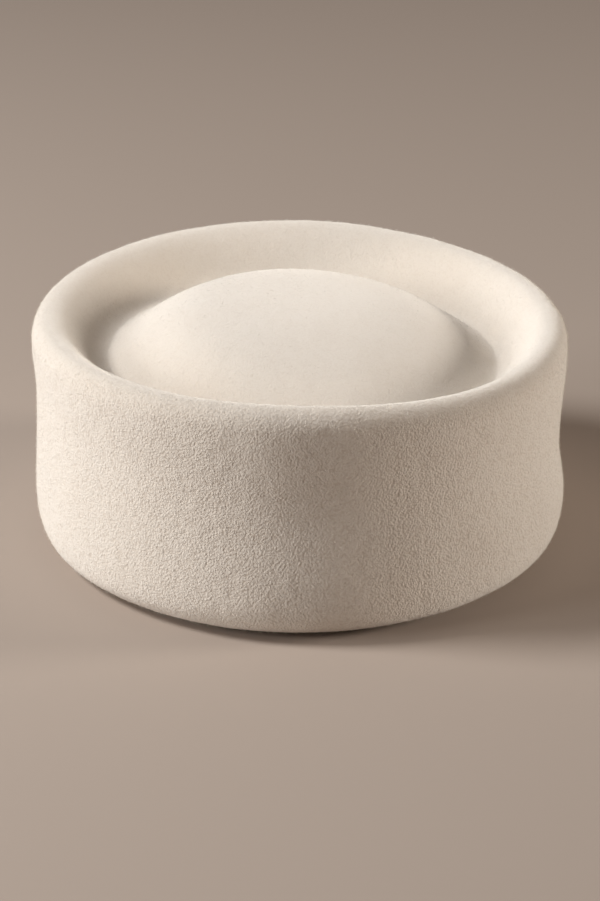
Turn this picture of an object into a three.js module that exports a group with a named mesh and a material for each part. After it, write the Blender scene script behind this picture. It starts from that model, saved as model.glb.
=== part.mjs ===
// A pillbox hat, blocked from one piece of thick wool felt.
//
// The felt rises from a lower edge that is turned in, swells into a soft bulge, draws in at a waist, folds
// over in a round rim, slopes down into a recess, and rises again as a shallow domed tip. Underneath it
// is hollow and open, with a narrow ring-shaped groove between the side wall and the recess.
// Millimetres, +Z up. The front looks along -Y and the length of the head oval runs along Y.
// The origin is on the resting plane, in the middle of the lower edge.

import * as THREE from "three";

// Driving dimensions.
const HALF_WIDTH = 91;
const HALF_LENGTH = 101;
const FELT_THICKNESS = 2.8;

const BULGE_HEIGHT = 15.5; // where the lower bulge is widest
const TURN_WIDTH = 12.5; // how far the edge turns in under the bulge before it meets the table
const TURN_DROP = 10.5; // how far the wall leads straight down into the turn
const TURN_LEAD = 9; // how far the underside runs straight to the foot
const TURN_SLOPE = THREE.MathUtils.degToRad(16); // of the underside, down toward the foot
const FOOT_WIDTH = 4.2; // the end of the turned-in edge, which lies flat on the table
const FOOT_EASE = 0.7; // corners of the cut edge

const RIM_ROLL_WIDTH = 5.7; // widest point of the rim to its ridge, inward
const RIM_ROLL_HEIGHT = 7.4; // widest point of the rim to its ridge, upward
const RIM_LEAD = 7; // how far the ridge runs level before it turns down into the recess

const VALLEY_INSET = 24.6; // foot of the recess, in from the reference oval
const VALLEY_HEIGHT = 62.5;
const VALLEY_LEAD = 6;

const DOME_RISE = 20.6; // tip of the dome above the foot of the recess
const DOME_FULLNESS = 3.2; // 2 is a parabola, higher is flatter on top
const DOME_EASE = 1.3; // over 1 the dome leaves the recess in a small fillet
const DOME_SHIFT = 1.1; // the dome sits this far toward +X
const DOME_TILT = -2.9; // height gained at +X, lost at -X

// Felt blocked by hand is never quite even. One row for every 45 degrees, counter-clockwise seen from
// above, starting on the +X side. Heights are above the table, and the other columns are distances out
// from the reference oval.
const STATIONS = [
  { rimHeight: 76.5, rimOut: 0.0, waistHeight: 34.5, waistOut: -2.0, bulgeOut: 0.0 },
  { rimHeight: 77.5, rimOut: 0.0, waistHeight: 39.5, waistOut: -2.0, bulgeOut: 0.0 },
  { rimHeight: 80.0, rimOut: -0.5, waistHeight: 45.0, waistOut: -1.5, bulgeOut: 0.0 },
  { rimHeight: 80.0, rimOut: -0.5, waistHeight: 50.0, waistOut: -1.5, bulgeOut: 0.0 },
  { rimHeight: 79.5, rimOut: -0.5, waistHeight: 55.0, waistOut: -1.5, bulgeOut: -0.5 },
  { rimHeight: 80.0, rimOut: 0.0, waistHeight: 51.0, waistOut: -1.5, bulgeOut: -0.5 },
  { rimHeight: 80.0, rimOut: -0.5, waistHeight: 45.5, waistOut: -2.0, bulgeOut: 0.0 },
  { rimHeight: 76.5, rimOut: 0.0, waistHeight: 40.0, waistOut: -2.0, bulgeOut: 0.0 },
];

// How finely each stretch of the section is divided.
const COLUMNS = 56;
const DOME_STEPS = 8;
const RECESS_STEPS = 7;
const ROLL_STEPS = 5;
const UPPER_WALL_STEPS = 4;
const LOWER_WALL_STEPS = 4;
const TURN_STEPS = 7;

const felt = new THREE.MeshStandardMaterial({ color: 0xefe6da, roughness: 0.95, metalness: 0 });

// Distance from the axis to the reference oval.
function ovalRadius(angle) {
  const across = HALF_LENGTH * Math.cos(angle);
  const along = HALF_WIDTH * Math.sin(angle);
  return (HALF_WIDTH * HALF_LENGTH) / Math.hypot(across, along);
}

// A column of STATIONS at any angle, on a Catmull-Rom curve that closes on itself.
function stationValue(column, angle) {
  const count = STATIONS.length;
  const turn = THREE.MathUtils.euclideanModulo(angle / (2 * Math.PI), 1) * count;
  const row = Math.floor(turn);
  const t = turn - row;
  const value = (step) => STATIONS[(row + step + count) % count][column];
  const [before, start, end, after] = [value(-1), value(0), value(1), value(2)];
  const slope = end - before;
  const bend = 2 * before - 5 * start + 4 * end - after;
  const twist = 3 * start - before - 3 * end + after;
  return 0.5 * (2 * start + slope * t + bend * t * t + twist * t * t * t);
}

// The outside of the felt at one angle, from the axis over the dome, recess, rim and wall down to the
// inner end of the foot. x is the distance from the axis and y is the height.
function outsideProfile(angle) {
  const oval = ovalRadius(angle);
  const station = (column) => stationValue(column, angle);
  const points = [];

  // Dome, out to the foot of the recess.
  const valleyRadius = oval - VALLEY_INSET + DOME_SHIFT * Math.cos(angle);
  const tilt = (radius) => (DOME_TILT * radius * Math.cos(angle)) / HALF_WIDTH;
  for (let i = 0; i < DOME_STEPS; i++) {
    const share = Math.sin(((i / DOME_STEPS) * Math.PI) / 2);
    const rise = DOME_RISE * Math.pow(1 - Math.pow(share, DOME_FULLNESS), DOME_EASE);
    const radius = share * valleyRadius;
    points.push(new THREE.Vector2(radius, VALLEY_HEIGHT + rise + tilt(radius)));
  }

  // Recess, from its foot up to the ridge of the rim.
  const valley = new THREE.Vector2(valleyRadius, VALLEY_HEIGHT + tilt(valleyRadius));
  const rimOut = oval + station("rimOut");
  const ridge = new THREE.Vector2(rimOut - RIM_ROLL_WIDTH, station("rimHeight"));
  const recess = new THREE.CubicBezierCurve(
    valley,
    new THREE.Vector2(valley.x + VALLEY_LEAD, valley.y),
    new THREE.Vector2(ridge.x - RIM_LEAD, ridge.y),
    ridge,
  );
  points.push(...recess.getPoints(RECESS_STEPS).slice(0, -1));

  // Rim, a quarter of an ellipse from the ridge to its widest point.
  const rimBase = ridge.y - RIM_ROLL_HEIGHT;
  for (let i = 0; i < ROLL_STEPS; i++) {
    const turn = ((i / ROLL_STEPS) * Math.PI) / 2;
    const out = RIM_ROLL_WIDTH * Math.sin(turn);
    const up = RIM_ROLL_HEIGHT * Math.cos(turn);
    points.push(new THREE.Vector2(ridge.x + out, rimBase + up));
  }

  // Side wall, in to the waist and out to the bulge, with an upright tangent at each.
  const waist = new THREE.Vector2(oval + station("waistOut"), station("waistHeight"));
  const bulge = new THREE.Vector2(oval + station("bulgeOut"), BULGE_HEIGHT);
  addEasedWall(points, new THREE.Vector2(rimOut, rimBase), waist, UPPER_WALL_STEPS);
  addEasedWall(points, waist, bulge, LOWER_WALL_STEPS);

  // The edge turned in under the bulge, then the foot that lies on the table.
  const contact = new THREE.Vector2(bulge.x - TURN_WIDTH, 0);
  const underside = new THREE.Vector2(Math.cos(TURN_SLOPE), Math.sin(TURN_SLOPE));
  const turn = new THREE.CubicBezierCurve(
    bulge,
    new THREE.Vector2(bulge.x, bulge.y - TURN_DROP),
    contact.clone().addScaledVector(underside, TURN_LEAD),
    contact,
  );
  points.push(...turn.getPoints(TURN_STEPS));
  points.push(new THREE.Vector2(contact.x - FOOT_WIDTH + FOOT_EASE, 0));
  return points;
}

// Points from one height to the next whose distance from the axis eases in and out. The end is left
// to the stretch that follows.
function addEasedWall(points, from, to, steps) {
  for (let i = 0; i < steps; i++) {
    const share = i / steps;
    const radius = THREE.MathUtils.lerp(from.x, to.x, THREE.MathUtils.smoothstep(share, 0, 1));
    points.push(new THREE.Vector2(radius, THREE.MathUtils.lerp(from.y, to.y, share)));
  }
}

// The hollow side: the outside moved through the felt's thickness, and the rounded cut edge.
function hollowProfile(outside) {
  const points = outside.map((point, i) => {
    const before = outside[Math.max(i - 1, 0)];
    const after = outside[Math.min(i + 1, outside.length - 1)];
    const along = after.clone().sub(before).normalize();
    const through = new THREE.Vector2(-along.y, along.x).multiplyScalar(-FELT_THICKNESS);
    return point.clone().add(through);
  });
  points[0].x = 0;
  const foot = outside[outside.length - 1];
  points[points.length - 1].set(foot.x, FELT_THICKNESS);
  points.push(new THREE.Vector2(foot.x - FOOT_EASE, FELT_THICKNESS - FOOT_EASE));
  points.push(new THREE.Vector2(foot.x - FOOT_EASE, FOOT_EASE));
  return points;
}

// One closed section at an angle, from the tip of the dome round the cut edge to the point below it.
function section(angle) {
  const outside = outsideProfile(angle);
  return [...outside, ...hollowProfile(outside).reverse()];
}

// Joins the sections of all angles into one closed surface that faces out.
function feltGeometry() {
  const sections = [];
  for (let column = 0; column < COLUMNS; column++) {
    const angle = (column / COLUMNS) * 2 * Math.PI;
    const direction = new THREE.Vector2(Math.cos(angle), Math.sin(angle));
    sections.push(
      section(angle).map((p) => new THREE.Vector3(p.x * direction.x, p.x * direction.y, p.y)),
    );
  }
  const rows = sections[0].length;
  const last = rows - 1;
  const positions = [sections[0][0], sections[0][last]];
  for (const points of sections) positions.push(...points.slice(1, last));
  const vertex = (column, row) => {
    if (row === 0) return 0;
    if (row === last) return 1;
    return 2 + (column % COLUMNS) * (rows - 2) + (row - 1);
  };
  const indices = [];
  for (let column = 0; column < COLUMNS; column++) {
    for (let row = 0; row < last; row++) {
      const [a, b] = [vertex(column, row), vertex(column, row + 1)];
      const [c, d] = [vertex(column + 1, row + 1), vertex(column + 1, row)];
      if (row > 0) indices.push(a, b, d);
      if (row + 1 < last) indices.push(b, c, d);
    }
  }
  const geometry = new THREE.BufferGeometry().setFromPoints(positions);
  geometry.setIndex(indices);
  geometry.computeBoundingBox();
  const centre = geometry.boundingBox.getCenter(new THREE.Vector3());
  geometry.translate(-centre.x, -centre.y, 0);
  geometry.computeVertexNormals();
  return geometry;
}

const hat = new THREE.Group();
const body = new THREE.Mesh(feltGeometry(), felt);
body.name = "felt_body";
hat.add(body);

export default hat;
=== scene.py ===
# %% [markdown]
# # A felt pillbox hat
#
# A pillbox is one piece of thick wool felt, steamed and pulled over a wooden block until it keeps the
# block's shape. There is no seam, band or lining: the side wall, the folded rim, the recess and the
# domed tip all run into each other. A plain solid model of it already exists at its true size. This
# lesson keeps that size and gives the hat its felt: a smooth hand-blocked form, a lumpy wool surface
# and a nap of fine fibres.
#
# The first cell loads the plain model. Every measure below is in metres, with +Z up and the hat's
# front towards -Y.

# %% Load the plain model
import math

import bpy
import numpy as np
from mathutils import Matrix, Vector


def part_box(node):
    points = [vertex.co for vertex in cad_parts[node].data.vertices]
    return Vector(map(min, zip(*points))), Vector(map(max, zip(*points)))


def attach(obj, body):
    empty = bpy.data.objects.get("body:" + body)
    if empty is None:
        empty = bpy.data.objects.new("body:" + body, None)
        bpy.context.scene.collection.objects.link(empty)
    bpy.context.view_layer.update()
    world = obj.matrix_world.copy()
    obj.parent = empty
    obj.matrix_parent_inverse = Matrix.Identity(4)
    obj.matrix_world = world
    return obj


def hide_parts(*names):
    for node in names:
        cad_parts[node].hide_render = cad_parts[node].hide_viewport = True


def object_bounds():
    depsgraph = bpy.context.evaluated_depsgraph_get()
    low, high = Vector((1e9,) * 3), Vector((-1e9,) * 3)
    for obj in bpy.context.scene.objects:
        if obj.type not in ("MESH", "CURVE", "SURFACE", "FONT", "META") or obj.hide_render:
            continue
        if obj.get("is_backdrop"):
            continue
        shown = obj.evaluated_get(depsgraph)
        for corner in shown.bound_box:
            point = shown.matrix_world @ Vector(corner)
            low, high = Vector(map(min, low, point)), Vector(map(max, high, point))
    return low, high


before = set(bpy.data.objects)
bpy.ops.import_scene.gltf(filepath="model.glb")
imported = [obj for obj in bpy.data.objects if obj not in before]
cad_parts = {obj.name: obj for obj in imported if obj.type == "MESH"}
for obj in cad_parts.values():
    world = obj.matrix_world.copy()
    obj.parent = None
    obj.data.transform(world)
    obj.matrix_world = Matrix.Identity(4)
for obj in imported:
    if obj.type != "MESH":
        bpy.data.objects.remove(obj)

MM = 0.001
cad_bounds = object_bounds()
block_low, block_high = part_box("felt_body")
print("plain model, mm:", [round(side / MM, 1) for side in block_high - block_low])

# %% [markdown]
# ## Camera
#
# The camera comes first, so that every later choice can be judged in the render. It looks down on
# the hat from a little over twenty degrees, far enough to see the recess and the tip over the rim. A
# long lens from more than a metre away keeps the sides nearly parallel.

# %% Camera
CAMERA_ELEVATION = math.radians(21.8)
CAMERA_DISTANCE = 1.136
CAMERA_AIM = Vector((0, 0, 0.329 * (block_high.z - block_low.z)))
LENS_MM = 131.4


def add_camera():
    data = bpy.data.cameras.new("hat_camera")
    data.lens = LENS_MM
    camera = bpy.data.objects.new("hat_camera", data)
    bpy.context.scene.collection.objects.link(camera)
    back = Vector((0, -math.cos(CAMERA_ELEVATION), math.sin(CAMERA_ELEVATION)))
    camera.location = CAMERA_AIM + back * CAMERA_DISTANCE
    camera.rotation_euler = (-back).to_track_quat("-Z", "Y").to_euler()
    bpy.context.scene.camera = camera
    return camera


camera = add_camera()
print("camera height, mm:", round(camera.location.z / MM))

# %% [markdown]
# ## The block
#
# A milliner's block is an oval, longer from front to back than from side to side. The felt's section
# is the same all the way round, apart from small differences, as felt pulled down by hand has. So the
# shape needs only a few driving sizes and one short table. It has a row for every 45 degrees,
# counter-clockwise from the +X side: heights are above the floor, and the other columns are distances
# out from the oval. The table and most of the sizes were fitted to the hat's outline by a separate
# program and then rounded, so they are estimates of one hat and not rules of the craft.

# %% Sizes of the block
HALF_LENGTH = (block_high.y - block_low.y) / 2
HALF_WIDTH = HALF_LENGTH - 10 * MM
FELT_THICKNESS = 2.8 * MM

BULGE_HEIGHT = 15.5 * MM
TURN_WIDTH = 12.5 * MM
TURN_DROP = 10.5 * MM
TURN_LEAD = 9 * MM
TURN_SLOPE = math.radians(16)
FOOT_WIDTH = 4.2 * MM
FOOT_EASE = 0.7 * MM

RIM_ROLL_WIDTH = 5.7 * MM
RIM_ROLL_HEIGHT = 7.4 * MM
RIM_LEAD = 7 * MM

VALLEY_INSET = 24.6 * MM
VALLEY_HEIGHT = 62.5 * MM
VALLEY_LEAD = 6 * MM

DOME_RISE = 20.6 * MM
DOME_FULLNESS = 3.2
DOME_EASE = 1.3
DOME_SHIFT = 1.1 * MM
DOME_TILT = -2.9 * MM

STATION_COLUMNS = ("rim_height", "rim_out", "waist_height", "waist_out", "bulge_out")
STATIONS = MM * np.array([
    (76.5, 0.0, 34.5, -2.0, 0.0),
    (77.5, 0.0, 39.5, -2.0, 0.0),
    (80.0, -0.5, 45.0, -1.5, 0.0),
    (80.0, -0.5, 50.0, -1.5, 0.0),
    (79.5, -0.5, 55.0, -1.5, -0.5),
    (80.0, 0.0, 51.0, -1.5, -0.5),
    (80.0, -0.5, 45.5, -2.0, 0.0),
    (76.5, 0.0, 40.0, -2.0, 0.0),
])


def oval_radius(angle):
    across = HALF_LENGTH * np.cos(angle)
    along = HALF_WIDTH * np.sin(angle)
    return HALF_WIDTH * HALF_LENGTH / np.hypot(across, along)


def station(column, angle):
    """A column of the table at any angles, on a Catmull-Rom curve that closes on itself."""
    values = STATIONS[:, STATION_COLUMNS.index(column)]
    turn = (angle / (2 * math.pi)) % 1 * len(values)
    row = np.floor(turn).astype(int)
    t = turn - row
    before, start, end, after = (values[(row + step) % len(values)] for step in (-1, 0, 1, 2))
    slope = end - before
    bend = 2 * before - 5 * start + 4 * end - after
    twist = 3 * start - before - 3 * end + after
    return 0.5 * (2 * start + slope * t + bend * t**2 + twist * t**3)


print("oval, mm:", round(2 * HALF_WIDTH / MM, 1), "by", round(2 * HALF_LENGTH / MM, 1))

# %% [markdown]
# ## The section
#
# A section is the path of the felt's outside at one angle, from the middle of the tip to the edge
# that is turned under. Each stretch has a formula that suits it: a flattened dome, a cubic curve with
# level ends for the recess, a quarter ellipse for the rim, easing curves into and out of the waist,
# and another cubic curve where the lower edge turns in under the hat. numpy works out all the angles
# at once, so each function returns a table with a row for each point of the path and a column for
# each angle.

# %% Stretches of the section
COLUMNS = 480
ANGLES = np.arange(COLUMNS) / COLUMNS * 2 * math.pi
OVAL = oval_radius(ANGLES)


def shares(steps, with_end=False):
    """Even shares of the way, as a column. The end is left to the next stretch."""
    return np.linspace(0, 1, steps + 1)[: None if with_end else -1, None]


def level_tilt(radius):
    return DOME_TILT * radius * np.cos(ANGLES) / HALF_WIDTH


def dome(steps):
    share = np.sin(shares(steps) * math.pi / 2)
    radius = share * (OVAL - VALLEY_INSET + DOME_SHIFT * np.cos(ANGLES))
    rise = DOME_RISE * (1 - share**DOME_FULLNESS) ** DOME_EASE
    return radius, VALLEY_HEIGHT + rise + level_tilt(radius)


def recess(steps):
    t = shares(steps)
    foot = OVAL - VALLEY_INSET + DOME_SHIFT * np.cos(ANGLES)
    ridge = OVAL + station("rim_out", ANGLES) - RIM_ROLL_WIDTH
    low = VALLEY_HEIGHT + level_tilt(foot)
    high = station("rim_height", ANGLES)
    near, far = 3 * t * (1 - t) ** 2, 3 * t**2 * (1 - t)
    radius = (1 - t) ** 3 * foot + near * (foot + VALLEY_LEAD) + far * (ridge - RIM_LEAD) + t**3 * ridge
    return radius, ((1 - t) ** 3 + near) * low + (far + t**3) * high


def rim(steps):
    turn = shares(steps) * math.pi / 2
    ridge = OVAL + station("rim_out", ANGLES) - RIM_ROLL_WIDTH
    base = station("rim_height", ANGLES) - RIM_ROLL_HEIGHT
    return ridge + RIM_ROLL_WIDTH * np.sin(turn), base + RIM_ROLL_HEIGHT * np.cos(turn)


def eased_wall(top, bottom, steps):
    """From one (radius, height) to the next, upright at both ends."""
    share = shares(steps)
    ease = share * share * (3 - 2 * share)
    return top[0] + (bottom[0] - top[0]) * ease, top[1] + (bottom[1] - top[1]) * share


def side_wall(upper_steps, lower_steps):
    widest = (OVAL + station("rim_out", ANGLES), station("rim_height", ANGLES) - RIM_ROLL_HEIGHT)
    waist = (OVAL + station("waist_out", ANGLES), station("waist_height", ANGLES))
    bulge = (OVAL + station("bulge_out", ANGLES), np.full(COLUMNS, BULGE_HEIGHT))
    upper = eased_wall(widest, waist, upper_steps)
    lower = eased_wall(waist, bulge, lower_steps)
    return np.vstack([upper[0], lower[0]]), np.vstack([upper[1], lower[1]])


def turn_in(steps):
    t = shares(steps, with_end=True)
    bulge = OVAL + station("bulge_out", ANGLES)
    contact = bulge - TURN_WIDTH
    under = (contact + TURN_LEAD * math.cos(TURN_SLOPE), TURN_LEAD * math.sin(TURN_SLOPE))
    first, near, far, last = (1 - t) ** 3, 3 * t * (1 - t) ** 2, 3 * t**2 * (1 - t), t**3
    radius = (first + near) * bulge + far * under[0] + last * contact
    height = first * BULGE_HEIGHT + near * (BULGE_HEIGHT - TURN_DROP) + far * under[1]
    return radius, height + 0 * radius


def foot(steps):
    contact = OVAL + station("bulge_out", ANGLES) - TURN_WIDTH
    width = (FOOT_WIDTH - FOOT_EASE) * shares(steps, with_end=True)[1:]
    return contact - width, 0 * (contact - width)


# %% [markdown]
# ## The felt as a closed shell
#
# The outside path and a copy of it moved inward by the thickness of the felt make one closed section.
# Joining the sections of all the angles gives a closed shell, with a single point at the middle of
# the tip on each side. The outside has about a point for every millimetre and a half, so that it can
# carry lumps of the wool; the hollow side has fewer rows, because it stays plain.
#
# Attributes ride along on the points for later steps. `outside` is 1 where the felt shows from
# outside and fades to 0 at the foot, which has to stay flat. `grain` says how rough the wool is: the
# side wall is left open and pebbled, and the tip and the recess are pressed smooth on the block.
# `wall`, `rim` and `crown` mark where each piece of the nap will grow.

# %% Build the shell
DOME, RECESS, RIM, WALL, TURN, FOOT, HOLLOW = range(7)
OUTSIDE_STEPS = ((DOME, 40), (RECESS, 20), (RIM, 12), (WALL, 42), (TURN, 16), (FOOT, 3))
HOLLOW_EVERY = 3
EDGE_STEPS = 5
FADE_HEIGHT = 4 * MM
PRESSED_GRAIN = 0.3


def outside_section():
    makers = {DOME: dome, RECESS: recess, RIM: rim, TURN: turn_in, FOOT: foot}
    radius, height, stretch = [], [], []
    for name, steps in OUTSIDE_STEPS:
        made = side_wall(steps // 2, steps - steps // 2) if name == WALL else makers[name](steps)
        radius.append(made[0])
        height.append(made[1])
        stretch += [name] * len(made[0])
    return np.vstack(radius), np.vstack(height), np.array(stretch)


def hollow_section(radius, height):
    """The outside moved inward through the felt, then the rounded cut edge, from the edge back up."""
    along_r, along_z = np.gradient(radius, axis=0), np.gradient(height, axis=0)
    length = np.hypot(along_r, along_z)
    inner_r = radius + FELT_THICKNESS * along_z / length
    inner_z = height - FELT_THICKNESS * along_r / length
    inner_r[0] = 0
    inner_r[-1], inner_z[-1] = radius[-1], FELT_THICKNESS
    rows = np.r_[0 : len(inner_r) - 1 : HOLLOW_EVERY, len(inner_r) - 1]
    turn = np.linspace(-math.pi / 2, math.pi / 2, EDGE_STEPS + 2)[1:-1, None]
    edge_r = radius[-1] - FOOT_EASE * np.cos(turn)
    straight = np.sign(turn) * (FELT_THICKNESS / 2 - FOOT_EASE)
    edge_z = FELT_THICKNESS / 2 + straight + FOOT_EASE * np.sin(turn) + 0 * edge_r
    return np.vstack([edge_r, inner_r[rows][::-1]]), np.vstack([edge_z, inner_z[rows][::-1]])


def ring_faces(rows):
    """Faces of rows of points that run from one pole (point 0) to the other (point 1)."""
    column = np.arange(COLUMNS)
    after = (column + 1) % COLUMNS
    faces = []
    for row in range(rows - 1):
        a, d = 2 + row * COLUMNS + column, 2 + row * COLUMNS + after
        faces += np.stack([a, a + COLUMNS, d + COLUMNS, d], 1).tolist()
    top = [[0, 2 + c, 2 + n] for c, n in zip(column, after)]
    low = 2 + (rows - 1) * COLUMNS
    return top + faces + [[low + c, 1, low + n] for c, n in zip(column, after)]


def shell_mesh():
    out_r, out_z, stretch = outside_section()
    in_r, in_z = hollow_section(out_r, out_z)
    radius, height = np.vstack([out_r, in_r]), np.vstack([out_z, in_z])
    stretch = np.r_[stretch, np.full(len(in_r), HOLLOW)]
    ring = np.stack([radius * np.cos(ANGLES), radius * np.sin(ANGLES), height], 2)
    poles = np.array([ring[0].mean(0), ring[-1].mean(0)])
    points = np.vstack([poles, ring[1:-1].reshape(-1, 3)])
    middle = (points.min(0) + points.max(0)) / 2
    points[:, :2] -= middle[:2]
    mesh = bpy.data.meshes.new("felt_shell")
    mesh.from_pydata(points.tolist(), [], ring_faces(len(radius) - 2))
    fade = np.clip(height / FADE_HEIGHT, 0, 1) * (stretch[:, None] < FOOT)
    rim_share = np.cumsum(stretch == RIM) / np.sum(stretch == RIM)
    grain = np.where(stretch < HOLLOW, PRESSED_GRAIN + (1 - PRESSED_GRAIN) * rim_share, PRESSED_GRAIN)
    marks = {
        "outside": fade,
        "grain": grain,
        "wall": np.isin(stretch, (WALL, TURN)),
        "rim": stretch == RIM,
        "crown": np.isin(stretch, (DOME, RECESS)),
    }
    for name, values in marks.items():
        rows = np.broadcast_to(values if values.ndim == 2 else values[:, None], radius.shape)
        on_points = np.r_[rows[0, 0], rows[-1, 0], rows[1:-1].ravel()].astype(np.float32)
        mesh.attributes.new(name, "FLOAT", "POINT").data.foreach_set("value", on_points)
    mesh.shade_smooth()
    return mesh


def add_piece(name, mesh):
    piece = bpy.data.objects.new(name, mesh)
    bpy.context.scene.collection.objects.link(piece)
    return piece


felt_shell = add_piece("felt_shell", shell_mesh())
print("shell:", len(felt_shell.data.vertices), "points,", len(felt_shell.data.polygons), "faces")

# %% [markdown]
# ## Writing node trees as arithmetic
#
# Blender builds both patterns and shapes from node trees. Linking nodes one by one is slow to read,
# so two small classes do it. A `Wire` is one output of a node, and Python's arithmetic on wires adds
# the Math nodes. A `Graph` holds the tree, and its `add` method makes any other node from its type,
# its settings and the values or wires of its sockets.

# %% Wires and graphs
class Wire:
    """One output socket of a node, ready for Python arithmetic."""

    def __init__(self, graph, socket):
        self.graph = graph
        self.socket = socket

    def math(self, operation, first, second=0.0):
        inputs = {"Value": first, "Value_001": second}
        return self.graph.add("ShaderNodeMath", {"operation": operation}, inputs)

    def __add__(self, other):
        return self.math("ADD", self, other)

    def __radd__(self, other):
        return self.math("ADD", other, self)

    def __sub__(self, other):
        return self.math("SUBTRACT", self, other)

    def __rsub__(self, other):
        return self.math("SUBTRACT", other, self)

    def __mul__(self, other):
        return self.math("MULTIPLY", self, other)

    def __rmul__(self, other):
        return self.math("MULTIPLY", other, self)

    def __rtruediv__(self, other):
        return self.math("DIVIDE", other, self)

    def __pow__(self, power):
        return self.math("POWER", self, power)


class Graph:
    """A node tree that is written as calls and sums."""

    def __init__(self, tree):
        self.tree = tree

    def add(self, kind, settings=None, inputs=None, output=0):
        """A new node. settings are set first. inputs and output go by a socket's place or name."""
        node = self.tree.nodes.new(kind)
        for name, value in (settings or {}).items():
            if name == "stops":
                self.set_stops(node.color_ramp, value)
            else:
                setattr(node, name, value)
        for name, value in (inputs or {}).items():
            socket = self.find(node.inputs, name)
            if isinstance(value, Wire):
                self.tree.links.new(value.socket, socket)
            else:
                socket.default_value = value
        return Wire(self, self.find(node.outputs, output)) if len(node.outputs) else None

    @staticmethod
    def find(sockets, name):
        """The socket in use that has this place, identifier or name."""
        used = [socket for socket in sockets if socket.enabled]
        if isinstance(name, int):
            return used[name]
        exact = [socket for socket in used if socket.identifier == name]
        return (exact + [socket for socket in used if socket.name == name])[0]

    @staticmethod
    def set_stops(ramp, stops):
        while len(ramp.elements) < len(stops):
            ramp.elements.new(1.0)
        for element, (place, colour) in zip(ramp.elements, stops):
            element.position = place
            element.color = colour


# %% [markdown]
# ## Geometry Nodes, with named inputs
#
# Each shape tree gets its sizes through named inputs, so the numbers stay together in one cell and
# the tree can be used again. A modifier finds its inputs by identifier, which `grow` looks up from
# the names. It then turns the result into a plain mesh and takes the modifier off again.

# %% Start and run a shape tree
SOCKET_KINDS = {float: "NodeSocketFloat", int: "NodeSocketInt", bpy.types.Material: "NodeSocketMaterial"}


def start_tree(name, inputs):
    """A Geometry Nodes tree with a geometry input and these named inputs. Returns its graph and wires."""
    tree = bpy.data.node_groups.new(name, "GeometryNodeTree")
    tree.interface.new_socket("Geometry", in_out="INPUT", socket_type="NodeSocketGeometry")
    for label, kind in inputs.items():
        tree.interface.new_socket(label, in_out="INPUT", socket_type=SOCKET_KINDS[kind])
    tree.interface.new_socket("Geometry", in_out="OUTPUT", socket_type="NodeSocketGeometry")
    graph = Graph(tree)
    source = tree.nodes.new("NodeGroupInput")
    wires = {label: Wire(graph, source.outputs[label]) for label in ("Geometry", *inputs)}
    return graph, wires


def finish_tree(graph, geometry):
    graph.add("NodeGroupOutput", {"is_active_output": True}, {"Geometry": geometry})
    return graph.tree


def grow(piece, tree, values):
    """Runs a tree on a piece, and keeps the result as the piece's own mesh."""
    modifier = piece.modifiers.new(tree.name, "NODES")
    modifier.node_group = tree
    for item in tree.interface.items_tree:
        if item.item_type == "SOCKET" and item.in_out == "INPUT" and item.name in values:
            modifier[item.identifier] = values[item.name]
    depsgraph = bpy.context.evaluated_depsgraph_get()
    result = bpy.data.meshes.new_from_object(piece.evaluated_get(depsgraph), depsgraph=depsgraph)
    piece.modifiers.remove(modifier)
    piece.data = result
    result.name = piece.name
    return piece


# %% [markdown]
# ## Lumps of the wool
#
# Blocked by hand, the felt is never quite even. Broad swells a finger wide stay from the pulling, and
# small lumps a few millimetres across show where the wool is thicker. Both are real changes of shape,
# so they move the points along their normals instead of only shading them. The lumps are taller than
# wide on the side wall, because the felt is stretched downwards there. The foot stays flat, so that
# the hat stands as it should.

# %% Relief of the felt
def relief_tree():
    names = ("Swell size", "Swell height", "Lump size", "Lump height", "Lump stretch", "Seed")
    kinds = {**dict.fromkeys(names, float), "Material": bpy.types.Material}
    graph, given = start_tree("felt_relief", kinds)
    place = graph.add("GeometryNodeInputPosition")
    normal = graph.add("GeometryNodeInputNormal")
    mask = graph.add("GeometryNodeInputNamedAttribute", {"data_type": "FLOAT"}, {"Name": "outside"})

    def noise(where, size, detail):
        inputs = {"Vector": where, "W": given["Seed"], "Scale": 1 / size, "Detail": detail}
        return graph.add("ShaderNodeTexNoise", {"noise_dimensions": "4D"}, inputs, "Fac") - 0.5

    squeeze_inputs = {"X": 1.0, "Y": 1.0, "Z": 1 / given["Lump stretch"]}
    squeeze = graph.add("ShaderNodeCombineXYZ", None, squeeze_inputs)
    stretched = graph.add("ShaderNodeVectorMath", {"operation": "MULTIPLY"}, {0: place, 1: squeeze})
    swell = noise(place, given["Swell size"], 1.0) * given["Swell height"]
    lump = noise(stretched, given["Lump size"], 2.0) * given["Lump height"]
    rise = (swell + lump) * mask * 2
    offset = graph.add("ShaderNodeVectorMath", {"operation": "SCALE"}, {0: normal, "Scale": rise})
    moved = graph.add("GeometryNodeSetPosition", None, {"Geometry": given["Geometry"], "Offset": offset})
    whole = graph.add("GeometryNodeRealizeInstances", None, {"Geometry": moved})
    dress_inputs = {"Geometry": whole, "Material": given["Material"]}
    dressed = graph.add("GeometryNodeSetMaterial", None, dress_inputs)
    return finish_tree(graph, dressed)
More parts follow.
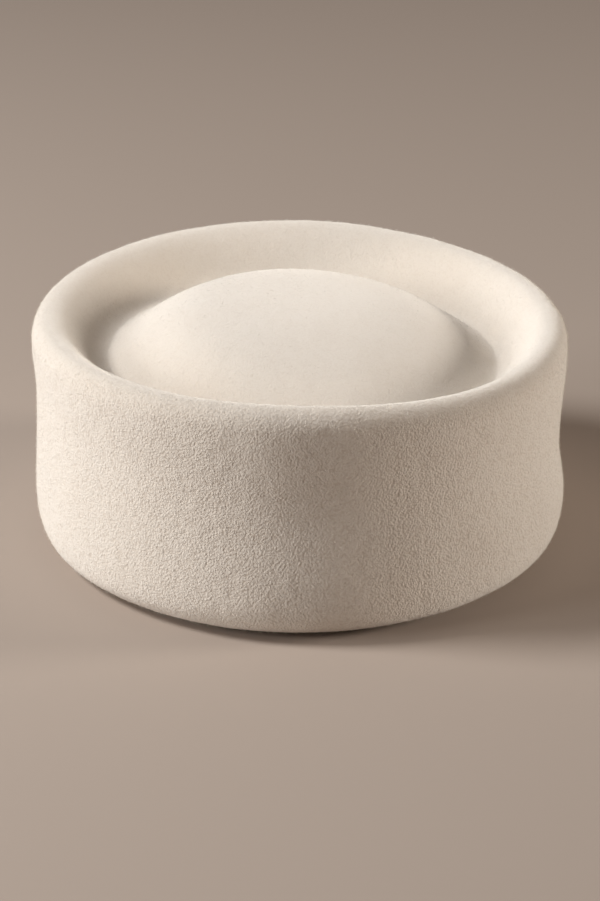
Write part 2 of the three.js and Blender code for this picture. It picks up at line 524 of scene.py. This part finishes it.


# %% [markdown]
# ## The felt's finish
#
# Ivory wool felt is almost matt. Three things give it away: a soft glow at the edges from the fibres
# that stand up, a fine pebbled grain, and shade in the pits between the pebbles. Sheen makes the glow.
# One height pattern makes the grain, and the same pattern paints darker, warmer shade into the pits,
# so the two always agree. All of it reads Object coordinates, which are real metres on this hat, so a
# grain of a millimetre is written as a millimetre. The `grain` attribute weakens the pattern, and with
# it the painted shade, where the block pressed the wool smooth.

# %% Felt material
IVORY = (0.91, 0.87, 0.81, 1)
IVORY_DEEP = (0.885, 0.83, 0.76, 1)
# The colour of the painted shade that darkens the pits of the grain.
PIT_SHADE_COLOUR = (0.58, 0.48, 0.38, 1)
GRAIN_SIZE = 0.55 * MM
PEBBLE_SIZE = 0.8 * MM
CLUMP_SIZE = 2.4 * MM
MOTTLE_SIZE = 26 * MM
GRAIN_DEPTH = 0.48 * MM
PEBBLE_SHARE, GRAIN_SHARE, CLUMP_SHARE = 0.50, 0.60, 0.35
# Where the grain's height pattern counts as a pit, and how strongly the painted shade darkens it.
PIT_SHADE_START, PIT_SHADE_END = 0.58, 0.70
PIT_SHADE_STRENGTH = 0.25
WHITE, BLACK = (1, 1, 1, 1), (0, 0, 0, 1)


def start_material(name, sockets):
    """A material with one Principled shader. Returns it, its graph and the shader."""
    material = bpy.data.materials.new(name)
    material.use_nodes = True
    graph = Graph(material.node_tree)
    shader = material.node_tree.nodes["Principled BSDF"]
    for label, value in sockets.items():
        shader.inputs[label].default_value = value
    return material, graph, shader


FELT_SHEEN = {
    "Roughness": 0.92,
    "Diffuse Roughness": 1.0,
    "Specular IOR Level": 0.18,
    "Sheen Weight": 0.30,
    "Sheen Roughness": 0.45,
    "Sheen Tint": (1.0, 0.96, 0.90, 1),
}


def felt_material():
    material, graph, shader = start_material("ivory_wool_felt", FELT_SHEEN)
    place = graph.add("ShaderNodeTexCoord", output="Object")
    rough = graph.add("ShaderNodeAttribute", {"attribute_name": "grain"}, output="Fac")

    def noise(where, size, detail, roughness=0.5):
        inputs = {"Vector": where, "Scale": 1 / size, "Detail": detail, "Roughness": roughness}
        return graph.add("ShaderNodeTexNoise", None, inputs, "Fac")

    drift = graph.add("ShaderNodeTexNoise", None, {"Vector": place, "Scale": 1 / PEBBLE_SIZE}, "Color")
    drift = graph.add("ShaderNodeVectorMath", {"operation": "SCALE"}, {0: drift, "Scale": PEBBLE_SIZE / 2})
    loose = graph.add("ShaderNodeVectorMath", {"operation": "ADD"}, {0: place, 1: drift})
    cells = {"Vector": loose, "Scale": 1 / PEBBLE_SIZE}
    pebbles = 1 - graph.add("ShaderNodeTexVoronoi", {"feature": "F1"}, cells, "Distance")
    grain = noise(place, GRAIN_SIZE, 2.0, 0.6)
    clumps = noise(place, CLUMP_SIZE, 1.0)
    height = pebbles * PEBBLE_SHARE + grain * GRAIN_SHARE + clumps * CLUMP_SHARE
    # Painted shade: the lowest parts of the height pattern are mixed towards a darker, warmer colour,
    # standing in for shade in the pits.
    pit_shade_ramp = [(PIT_SHADE_START, WHITE), (PIT_SHADE_END, BLACK)]
    pit_shade_mask = graph.add("ShaderNodeValToRGB", {"stops": pit_shade_ramp}, {"Fac": height})
    mottle = noise(place, MOTTLE_SIZE, 2.0)
    mix = {"data_type": "RGBA"}
    base = graph.add("ShaderNodeMix", mix, {"Factor": mottle, "A": IVORY, "B": IVORY_DEEP}, "Result")
    shaded_pit_mix = {"Factor": pit_shade_mask * rough * PIT_SHADE_STRENGTH, "A": base, "B": PIT_SHADE_COLOUR}
    colour = graph.add("ShaderNodeMix", mix, shaded_pit_mix, "Result")
    bump_inputs = {"Strength": 1.0, "Distance": GRAIN_DEPTH, "Height": height * rough}
    bump = graph.add("ShaderNodeBump", None, bump_inputs)
    material.node_tree.links.new(colour.socket, shader.inputs["Base Color"])
    material.node_tree.links.new(bump.socket, shader.inputs["Normal"])
    return material


felt = felt_material()
print("felt nodes:", len(felt.node_tree.nodes))

# %% Give the shell its relief
grow(felt_shell, relief_tree(), {
    "Swell size": 30 * MM,
    "Swell height": 0.5 * MM,
    "Lump size": 4.0 * MM,
    "Lump height": 0.22 * MM,
    "Lump stretch": 1.6,
    "Seed": 4.0,
    "Material": felt,
})
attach(felt_shell, "root")
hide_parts("felt_body")
print("relief:", len(felt_shell.data.polygons), "faces")

# %% [markdown]
# ## The nap
#
# Wool felt is matted fibre, so its surface is a short nap: most fibres lie flat and curl back into the
# mat, and a few stand up and soften the outline against the light. Painting them would leave the
# outline hard. So each fibre is a thin bent spindle of only six faces, and Geometry Nodes set about a
# hundred thousand of them on the shell. Each fibre gets its own spin, size and lift from the surface,
# and its own tone of the wool. The nap is split in four pieces, so that none of them is too heavy.

# %% Nap tree
SPINDLE_SIDES = 3
EDGE_SLACK = 0.001 * MM
LIFT_POWER = 3
SMALLEST_FIBRE = 0.45
TONE_SHARE, SIDE_SHARE = 0.96, 0.03


def nap_tree():
    numbers = ("Density", "Length", "Width", "Arch", "Most lift", "Front")
    kinds = {**dict.fromkeys(numbers, float), "Seed": int, "Material": bpy.types.Material}
    graph, given = start_tree("felt_nap", kinds)

    def random(low, high, turn):
        inputs = {"Min": low, "Max": high, "Seed": given["Seed"] + turn}
        return graph.add("FunctionNodeRandomValue", {"data_type": "FLOAT"}, inputs, "Value")

    def store(geometry, name, value, kind="FLOAT", domain="POINT"):
        inputs = {"Geometry": geometry, "Name": name, "Value": value}
        return graph.add("GeometryNodeStoreNamedAttribute", {"data_type": kind, "domain": domain}, inputs)

    def read(name):
        return graph.add("GeometryNodeInputNamedAttribute", {"data_type": "FLOAT"}, {"Name": name})

    def parts_of(vector):
        return [graph.add("ShaderNodeSeparateXYZ", None, {"Vector": vector}, axis) for axis in "XYZ"]

    spindle_inputs = {"Segments": SPINDLE_SIDES, "Rings": 2, "Radius": 1.0}
    spindle = graph.add("GeometryNodeMeshUVSphere", None, spindle_inputs)
    x, y, z = parts_of(graph.add("GeometryNodeInputPosition"))
    spindle = store(spindle, "along", z * 0.5 + 0.5)
    spindle = store(spindle, "side", x * 0.5 + 0.5)
    lying = graph.add("ShaderNodeCombineXYZ", None, {
        "X": given["Length"] * (z * 0.5 + 0.5),
        "Y": given["Width"] * x * 0.5,
        "Z": given["Width"] * y * 0.5 + given["Arch"] * (1 - z * z),
    })
    spindle = graph.add("GeometryNodeSetPosition", None, {"Geometry": spindle, "Position": lying})

    _, depth, _ = parts_of(graph.add("GeometryNodeInputPosition"))
    sides = {0: depth * given["Front"], 1: EDGE_SLACK}
    in_front = graph.add("ShaderNodeMath", {"operation": "LESS_THAN"}, sides)
    spread_inputs = {
        "Mesh": given["Geometry"],
        "Density": given["Density"] * read("nap") * in_front,
        "Seed": given["Seed"],
    }
    spread = graph.add("GeometryNodeDistributePointsOnFaces", None, spread_inputs, "Points")
    along_normal = Wire(graph, spread.socket.node.outputs["Rotation"])
    lift = given["Most lift"] * random(0.0, 1.0, 1) ** LIFT_POWER
    turn = graph.add("ShaderNodeCombineXYZ", None, {"Y": 0.0 - lift, "Z": random(0.0, 2 * math.pi, 2)})
    turn = graph.add("FunctionNodeEulerToRotation", None, {"Euler": turn})
    turned = graph.add("FunctionNodeRotateRotation", {"rotation_space": "LOCAL"},
                       {"Rotation": along_normal, "Rotate By": turn})
    size = random(SMALLEST_FIBRE, 1.0, 3)
    points = store(spread, "tone", random(0.0, 1.0, 4))
    fibres = graph.add("GeometryNodeInstanceOnPoints", None,
                       {"Points": points, "Instance": spindle, "Rotation": turned, "Scale": size})
    whole = graph.add("GeometryNodeRealizeInstances", None, {"Geometry": fibres})
    across = read("tone") * TONE_SHARE + read("side") * SIDE_SHARE
    flat = graph.add("ShaderNodeCombineXYZ", None, {"X": across, "Y": read("along")})
    mapped = store(whole, "OFBake", flat, "FLOAT2", "CORNER")
    dress_inputs = {"Geometry": mapped, "Material": given["Material"]}
    dressed = graph.add("GeometryNodeSetMaterial", None, dress_inputs)
    return finish_tree(graph, dressed)


# %% [markdown]
# ## Finish of the fibres
#
# A wool fibre is a little paler than the mat under it, and no two have the same tone. The map of each
# fibre runs across for its tone and along for its length, so one ramp of colours serves all of them.

# %% Nap material
NAP_PALE = (0.92, 0.895, 0.85, 1)
NAP_WARM = (0.84, 0.795, 0.73, 1)


def nap_material():
    material, graph, shader = start_material("ivory_wool_nap", FELT_SHEEN)
    across = graph.add("ShaderNodeUVMap", {"uv_map": "OFBake"})
    tone = graph.add("ShaderNodeSeparateXYZ", None, {"Vector": across}, "X")
    mix = {"data_type": "RGBA"}
    tones = {"Factor": tone * tone, "A": NAP_PALE, "B": NAP_WARM}
    colour = graph.add("ShaderNodeMix", mix, tones, "Result")
    material.node_tree.links.new(colour.socket, shader.inputs["Base Color"])
    return material


nap_felt = nap_material()

# %% Grow the nap
NAP_TREE = nap_tree()
FRONT, BACK, ALL_ROUND = 1.0, -1.0, 0.0
BARE_FOOT = 0.4
FIBRE_ARCH = 0.10 * MM
FIRST_SEED, SEED_STEP = 11, 10
NAP_PIECES = {
    "nap_wall_front": ("wall", FRONT, 1.3e6, 1.0 * MM, 0.11 * MM, 65),
    "nap_wall_back": ("wall", BACK, 1.3e6, 1.0 * MM, 0.11 * MM, 65),
    "nap_rim": ("rim", ALL_ROUND, 3.0e6, 1.1 * MM, 0.09 * MM, 65),
    "nap_crown": ("crown", ALL_ROUND, 1.0e6, 1.2 * MM, 0.08 * MM, 20),
}


def add_nap(name, seed):
    mark, front, density, length, width, most_lift = NAP_PIECES[name]
    mesh = felt_shell.data.copy()
    marked, raised = np.empty((2, len(mesh.vertices)), np.float32)
    mesh.attributes[mark].data.foreach_get("value", marked)
    mesh.attributes["outside"].data.foreach_get("value", raised)
    values = marked * (raised > BARE_FOOT)
    mesh.attributes.new("nap", "FLOAT", "POINT").data.foreach_set("value", values)
    piece = grow(add_piece(name, mesh), NAP_TREE, {
        "Density": density,
        "Length": length,
        "Width": width,
        "Arch": FIBRE_ARCH,
        "Most lift": math.radians(most_lift),
        "Front": front,
        "Seed": seed,
        "Material": nap_felt,
    })
    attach(piece, "root")
    print(name, len(piece.data.polygons), "faces")


for place, name in enumerate(NAP_PIECES):
    add_nap(name, FIRST_SEED + SEED_STEP * place)

# %% [markdown]
# ## Floor and light
#
# A plain pale floor carries the shadow that shows the hat standing. The key is a soft lamp high on the
# left and a little to the front: it rakes the front wall, which brings the grain out, and leaves the
# right of the front in shade. A lower lamp beside it lights the left side, and a warm lamp on the right
# keeps the shade open.

# %% Floor
FLOOR_SIDE = 3.6
FLOOR_COLOUR = (0.41, 0.345, 0.298, 1)


def floor_material():
    sockets = {"Base Color": FLOOR_COLOUR, "Roughness": 0.85, "Specular IOR Level": 0.2}
    return start_material("pale_floor", sockets)[0]


def add_floor():
    half = FLOOR_SIDE / 2
    mesh = bpy.data.meshes.new("floor")
    corners = [(-half, -half, 0), (half, -half, 0), (half, half, 0), (-half, half, 0)]
    mesh.from_pydata(corners, [], [(0, 1, 2, 3)])
    mesh.materials.append(floor_material())
    floor = add_piece("floor", mesh)
    floor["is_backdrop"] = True
    return floor


floor = add_floor()
print("floor side, m:", FLOOR_SIDE)

# %% [markdown]
# ## Lamps
#
# Real studio lamps stand round the hat and face it. Each one here is a disk, because a large face gives
# soft shadow edges, and is placed by its direction and distance from the hat.

# %% Lamps
KEY_COLOUR = (1.0, 0.985, 0.965)
FILL_COLOUR = (1.0, 0.93, 0.85)


def add_lamp(name, azimuth, elevation, distance, width, power, colour):
    """A disk lamp that faces the hat. Azimuth is counter-clockwise from +X, in degrees."""
    data = bpy.data.lights.new(name, "AREA")
    data.shape = "DISK"
    data.size = width
    data.energy = power
    data.color = colour
    lamp = bpy.data.objects.new(name, data)
    bpy.context.scene.collection.objects.link(lamp)
    turn, rise = math.radians(azimuth), math.radians(elevation)
    away = Vector((math.cos(turn) * math.cos(rise), math.sin(turn) * math.cos(rise), math.sin(rise)))
    lamp.location = CAMERA_AIM + away * distance
    lamp.rotation_euler = (-away).to_track_quat("-Z", "Y").to_euler()
    print(name, "stands at", [round(side, 2) for side in lamp.location], "m")


add_lamp("key", 184, 42, 1.6, 0.50, 24, KEY_COLOUR)
add_lamp("side_key", 202, 18, 2.0, 0.8, 17, KEY_COLOUR)
add_lamp("fill", 2, 11, 2.0, 0.6, 36, FILL_COLOUR)

# %% [markdown]
# ## World
#
# The room around the hat does two things. It adds a very faint warm light to the shade, and it is what
# the camera sees past the end of the floor. One colour can't do both, so the world is split: rays from
# the camera see a plain pale backdrop, and all other rays see the faint glow.

# %% World
WORLD_GLOW = ((1.0, 0.50, 0.32, 1), 0.04)
WORLD_BACKDROP = ((0.42, 0.37, 0.33, 1), 1.0)


def add_world():
    """A faint warm light, seen by the camera as a plain pale backdrop."""
    world = bpy.data.worlds.new("studio")
    world.use_nodes = True
    world.node_tree.nodes.clear()
    graph = Graph(world.node_tree)
    glow, backdrop = (
        graph.add("ShaderNodeBackground", None, {"Color": colour, "Strength": strength})
        for colour, strength in (WORLD_GLOW, WORLD_BACKDROP)
    )
    seen = graph.add("ShaderNodeLightPath", output="Is Camera Ray")
    both = graph.add("ShaderNodeMixShader", None, {0: seen, 1: glow, 2: backdrop})
    graph.add("ShaderNodeOutputWorld", None, {"Surface": both})
    bpy.context.scene.world = world
    return world


world = add_world()
bpy.context.scene.view_settings.view_transform = "Standard"
print("world nodes:", len(world.node_tree.nodes))

# %% [markdown]
#
# The dressed hat has to stay as big as the plain model, apart from the nap that stands proud of it. So
# both boxes are kept, and the size of the dressed one is printed.

visual_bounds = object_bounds()
sizes = {"cad": cad_bounds, "visual": visual_bounds}
sizes = {name: [list(corner) for corner in box] for name, box in sizes.items()}
print("visual model, mm:", [round(side / MM, 1) for side in visual_bounds[1] - visual_bounds[0]])
